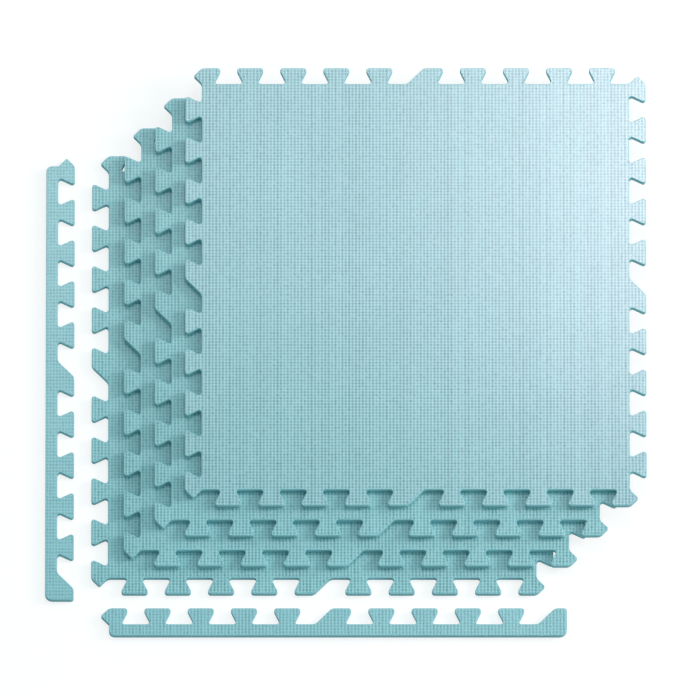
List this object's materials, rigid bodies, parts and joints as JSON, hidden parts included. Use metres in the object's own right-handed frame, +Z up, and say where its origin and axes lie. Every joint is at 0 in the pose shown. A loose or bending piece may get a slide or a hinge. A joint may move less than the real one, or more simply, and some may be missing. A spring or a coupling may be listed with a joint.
{
  "type": "blocking mats",
  "caption": "Interlocking square foam mats for blocking knitting, stacked in steps, with toothed edge strips that finish their sides.",
  "frame": {"origin": "on the floor, under the middle of the whole layout", "axes": "+Z up out of the mats' faces; +X to the right along the front strip, +Y to the back along the side strip"},
  "size_m": [0.8098, 0.7962, 0.0409],
  "materials": {
    "eva_foam": "matte closed-cell foam with a fine woven-look emboss on the upper face"
  },
  "bodies": {
    "mat_bottom": {"mat_bottom": "eva_foam"},
    "mat_second": {"mat_second": "eva_foam"},
    "mat_third": {"mat_third": "eva_foam"},
    "mat_top": {"mat_top": "eva_foam"},
    "edge_strip_front": {"edge_strip_front": "eva_foam"},
    "edge_strip_side": {"edge_strip_side": "eva_foam"}
  },
  "joints": [
    {"name": "mat_second_lift", "type": "slide", "parent": "mat_bottom", "child": "mat_second", "axis": [0, 0, 1], "range_m": [0, 0.1]},
    {"name": "mat_third_lift", "type": "slide", "parent": "mat_second", "child": "mat_third", "axis": [0, 0, 1], "range_m": [0, 0.1]},
    {"name": "mat_top_lift", "type": "slide", "parent": "mat_third", "child": "mat_top", "axis": [0, 0, 1], "range_m": [0, 0.1]},
    {"name": "edge_strip_front_lift", "type": "slide", "parent": "mat_bottom", "child": "edge_strip_front", "axis": [0, 0, 1], "range_m": [0, 0.1]},
    {"name": "edge_strip_side_lift", "type": "slide", "parent": "mat_bottom", "child": "edge_strip_side", "axis": [0, 0, 1], "range_m": [0, 0.1]}
  ]
}
